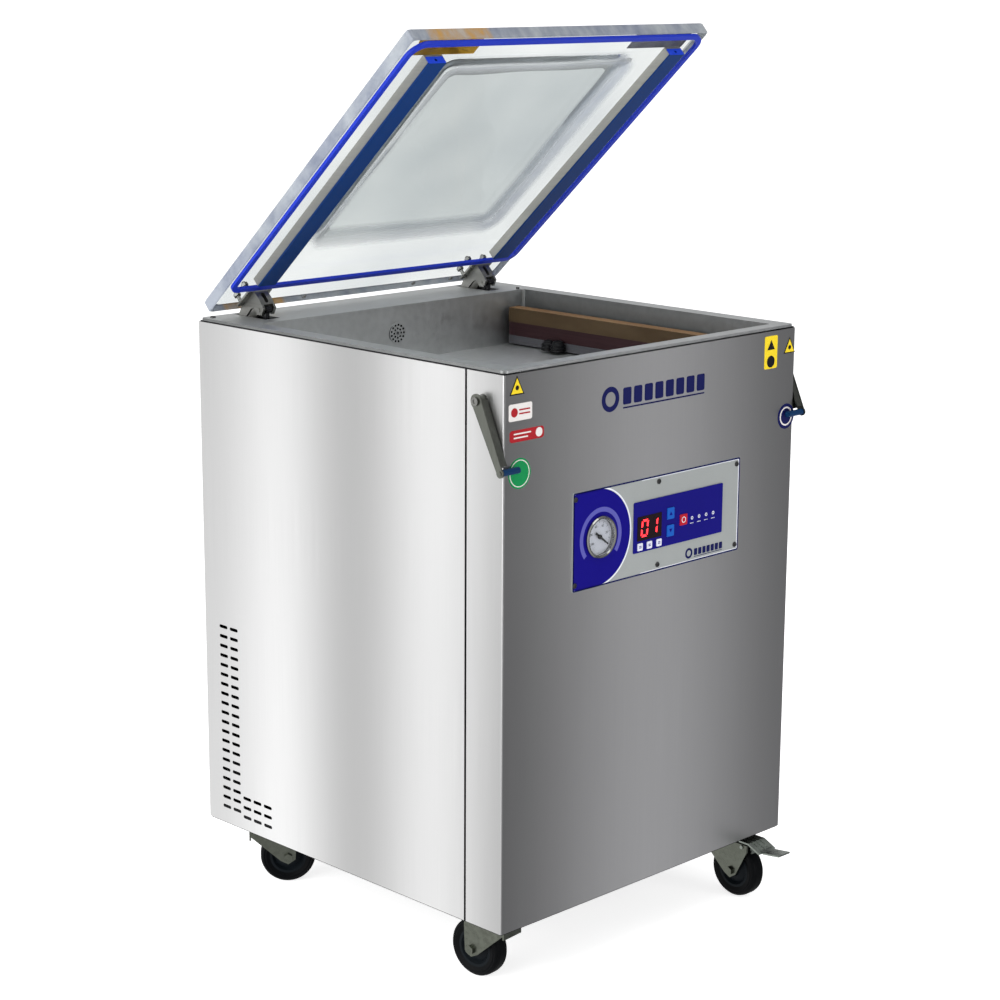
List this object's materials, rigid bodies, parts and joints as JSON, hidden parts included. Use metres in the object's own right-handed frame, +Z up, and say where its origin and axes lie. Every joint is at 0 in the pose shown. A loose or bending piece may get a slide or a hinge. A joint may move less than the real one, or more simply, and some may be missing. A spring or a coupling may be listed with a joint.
{
  "type": "vacuum chamber sealer",
  "caption": "Floor-standing vacuum chamber sealer with a clear hinged lid, two seal bars in a sunk chamber, a front control panel and swivel casters.",
  "frame": {"origin": "centre of the bounding box's footprint, on the floor", "axes": "+Z up, +X to the right seen from the front, the control panel faces -Y, the lid hinges at +Y"},
  "size_m": [0.676, 0.7627, 1.3905],
  "materials": {
    "panel_steel": "vertically brushed",
    "frame_steel": "satin grey paint",
    "chamber_steel": "satin",
    "dark_steel": "matte",
    "bright_steel": "bright",
    "hinge_steel": "satin",
    "zinc": "zinc plated",
    "strut_black": "gloss black",
    "panel_silver": "satin silver with blue print",
    "keypad_blue": "semi-gloss film",
    "display_dark": "gloss",
    "gauge_chrome": "polished",
    "dial_white": "matte",
    "gauge_glass": "clear",
    "needle_black": "matte black",
    "cast_alu": "satin",
    "pump_grey": "satin paint",
    "hose_rubber": "matte",
    "box_grey": "matte",
    "gland_black": "matte",
    "clear_acrylic": "clear, polished",
    "gasket_blue": "satin",
    "bar_aluminium": "extruded",
    "silicone_navy": "satin",
    "bar_dark": "satin",
    "tape_brown": "woven, coated",
    "button_blue": "semi-gloss",
    "button_red": "semi-gloss",
    "button_white": "semi-gloss",
    "grip_blue": "semi-gloss",
    "tyre_dark": "matte",
    "hub_grey": "matte"
  },
  "bodies": {
    "cabinet": {"frame": "frame_steel", "front_panel": "panel_steel", "side_panel_left": "panel_steel", "side_panel_right": "panel_steel", "rear_panel": "panel_steel", "chamber_tub": "chamber_steel", "suction_grille": "dark_steel", "screws": "bright_steel", "hinge_shaft": "bright_steel", "hinge_bearings": "frame_steel", "strut_cylinders": "strut_black", "control_panel": "panel_silver", "keypad": "keypad_blue", "display_window": "display_dark", "gauge_case": "gauge_chrome", "gauge_dial": "dial_white", "gauge_glass": "gauge_glass", "lift_cylinders": "cast_alu", "vacuum_pump": "pump_grey", "vacuum_hose": "hose_rubber", "valve_block": "cast_alu", "control_box": "box_grey", "cable_gland": "gland_black", "arm_bosses": "bright_steel", "caster_plates": "zinc"},
    "lid": {"lid": "clear_acrylic", "lid_gasket": "gasket_blue", "counter_bars": "bar_aluminium", "counter_silicone": "silicone_navy", "hinge_arms": "hinge_steel", "lid_screws": "bright_steel"},
    "struts": {"strut_rods": "strut_black"},
    "bar_left": {"seal_bar_left": "bar_dark", "seal_tape_left": "tape_brown"},
    "bar_right": {"seal_bar_right": "bar_dark", "seal_tape_right": "tape_brown"},
    "needle": {"gauge_needle": "needle_black"},
    "arm_left": {"arm_left": "hinge_steel", "arm_grip_left": "grip_blue"},
    "arm_right": {"arm_right": "hinge_steel", "arm_grip_right": "grip_blue"},
    "brake": {"brake_pedal": "zinc"},
    "button_up": {"button_up": "button_blue"},
    "button_down": {"button_down": "button_blue"},
    "button_stop": {"button_stop": "button_red"},
    "button_a": {"button_a": "button_white"},
    "button_b": {"button_b": "button_white"},
    "button_c": {"button_c": "button_white"},
    "caster_fl": {"fork_fl": "zinc"},
    "wheel_fl": {"tyre_fl": "tyre_dark", "hub_fl": "hub_grey"},
    "caster_fr": {"fork_fr": "zinc"},
    "wheel_fr": {"tyre_fr": "tyre_dark", "hub_fr": "hub_grey"},
    "caster_bl": {"fork_bl": "zinc"},
    "wheel_bl": {"tyre_bl": "tyre_dark", "hub_bl": "hub_grey"},
    "caster_br": {"fork_br": "zinc"},
    "wheel_br": {"tyre_br": "tyre_dark", "hub_br": "hub_grey"}
  },
  "joints": [
    {"name": "lid_hinge", "type": "hinge", "parent": "cabinet", "child": "lid", "pos_m": [0, 0.3395, 0.924], "axis": [1, 0, 0], "range_deg": [0, 42.4], "stiffness_Nm_per_rad": 22, "springref_deg": -103.13},
    {"name": "strut_push", "type": "slide", "parent": "cabinet", "child": "struts", "axis": [0, 0, 1], "range_m": [-0.039, 0]},
    {"name": "bar_left_lift", "type": "slide", "parent": "cabinet", "child": "bar_left", "axis": [0, 0, 1], "range_m": [0, 0.015]},
    {"name": "bar_right_lift", "type": "slide", "parent": "cabinet", "child": "bar_right", "axis": [0, 0, 1], "range_m": [0, 0.015]},
    {"name": "needle_turn", "type": "hinge", "parent": "cabinet", "child": "needle", "pos_m": [-0.1224, -0.32, 0.67], "axis": [0, -1, 0], "range_deg": [0, 250], "stiffness_Nm_per_rad": 0.0006},
    {"name": "button_up_press", "type": "slide", "parent": "cabinet", "child": "button_up", "axis": [0, 1, 0], "range_m": [0, 0.0008], "stiffness_N_per_m": 500, "springref_m": -0.001},
    {"name": "button_down_press", "type": "slide", "parent": "cabinet", "child": "button_down", "axis": [0, 1, 0], "range_m": [0, 0.0008], "stiffness_N_per_m": 500, "springref_m": -0.001},
    {"name": "button_stop_press", "type": "slide", "parent": "cabinet", "child": "button_stop", "axis": [0, 1, 0], "range_m": [0, 0.0008], "stiffness_N_per_m": 500, "springref_m": -0.001},
    {"name": "button_a_press", "type": "slide", "parent": "cabinet", "child": "button_a", "axis": [0, 1, 0], "range_m": [0, 0.0008], "stiffness_N_per_m": 500, "springref_m": -0.001},
    {"name": "button_b_press", "type": "slide", "parent": "cabinet", "child": "button_b", "axis": [0, 1, 0], "range_m": [0, 0.0008], "stiffness_N_per_m": 500, "springref_m": -0.001},
    {"name": "button_c_press", "type": "slide", "parent": "cabinet", "child": "button_c", "axis": [0, 1, 0], "range_m": [0, 0.0008], "stiffness_N_per_m": 500, "springref_m": -0.001},
    {"name": "arm_left_swing", "type": "hinge", "parent": "cabinet", "child": "arm_left", "pos_m": [-0.3295, -0.276, 0.891], "axis": [1, 0, 0], "range_deg": [-110, 0]},
    {"name": "arm_right_swing", "type": "hinge", "parent": "cabinet", "child": "arm_right", "pos_m": [0.3295, -0.276, 0.891], "axis": [1, 0, 0], "range_deg": [-110, 0]},
    {"name": "caster_fl_swivel", "type": "hinge", "parent": "cabinet", "child": "caster_fl", "pos_m": [-0.258, -0.249, 0.098], "axis": [0, 0, 1], "continuous": true},
    {"name": "wheel_fl_roll", "type": "hinge", "parent": "caster_fl", "child": "wheel_fl", "pos_m": [-0.26176, -0.2132, 0.045], "axis": [0.9945, 0.1045, 0], "continuous": true},
    {"name": "caster_fr_swivel", "type": "hinge", "parent": "cabinet", "child": "caster_fr", "pos_m": [0.258, -0.249, 0.098], "axis": [0, 0, 1], "continuous": true},
    {"name": "wheel_fr_roll", "type": "hinge", "parent": "caster_fr", "child": "wheel_fr", "pos_m": [0.25706, -0.28499, 0.045], "axis": [-0.9997, 0.0262, 0], "continuous": true},
    {"name": "caster_bl_swivel", "type": "hinge", "parent": "cabinet", "child": "caster_bl", "pos_m": [-0.258, 0.295, 0.098], "axis": [0, 0, 1], "continuous": true},
    {"name": "wheel_bl_roll", "type": "hinge", "parent": "caster_bl", "child": "wheel_bl", "pos_m": [-0.23002, 0.27234, 0.045], "axis": [-0.6293, -0.7771, 0], "continuous": true},
    {"name": "caster_br_swivel", "type": "hinge", "parent": "cabinet", "child": "caster_br", "pos_m": [0.258, 0.295, 0.098], "axis": [0, 0, 1], "continuous": true},
    {"name": "wheel_br_roll", "type": "hinge", "parent": "caster_br", "child": "wheel_br", "pos_m": [0.25051, 0.25979, 0.045], "axis": [-0.9781, 0.2079, 0], "continuous": true},
    {"name": "brake_press", "type": "hinge", "parent": "caster_fr", "child": "brake", "pos_m": [0.25643, -0.30898, 0.092], "axis": [0.9997, -0.0262, 0], "range_deg": [0, 6]}
  ],
  "couplings": [
    {"joint": "bar_right_lift", "follows": "bar_left_lift", "ratio": 1},
    {"joint": "strut_push", "follows": "lid_hinge", "m_per_rad": -0.05233}
  ]
}
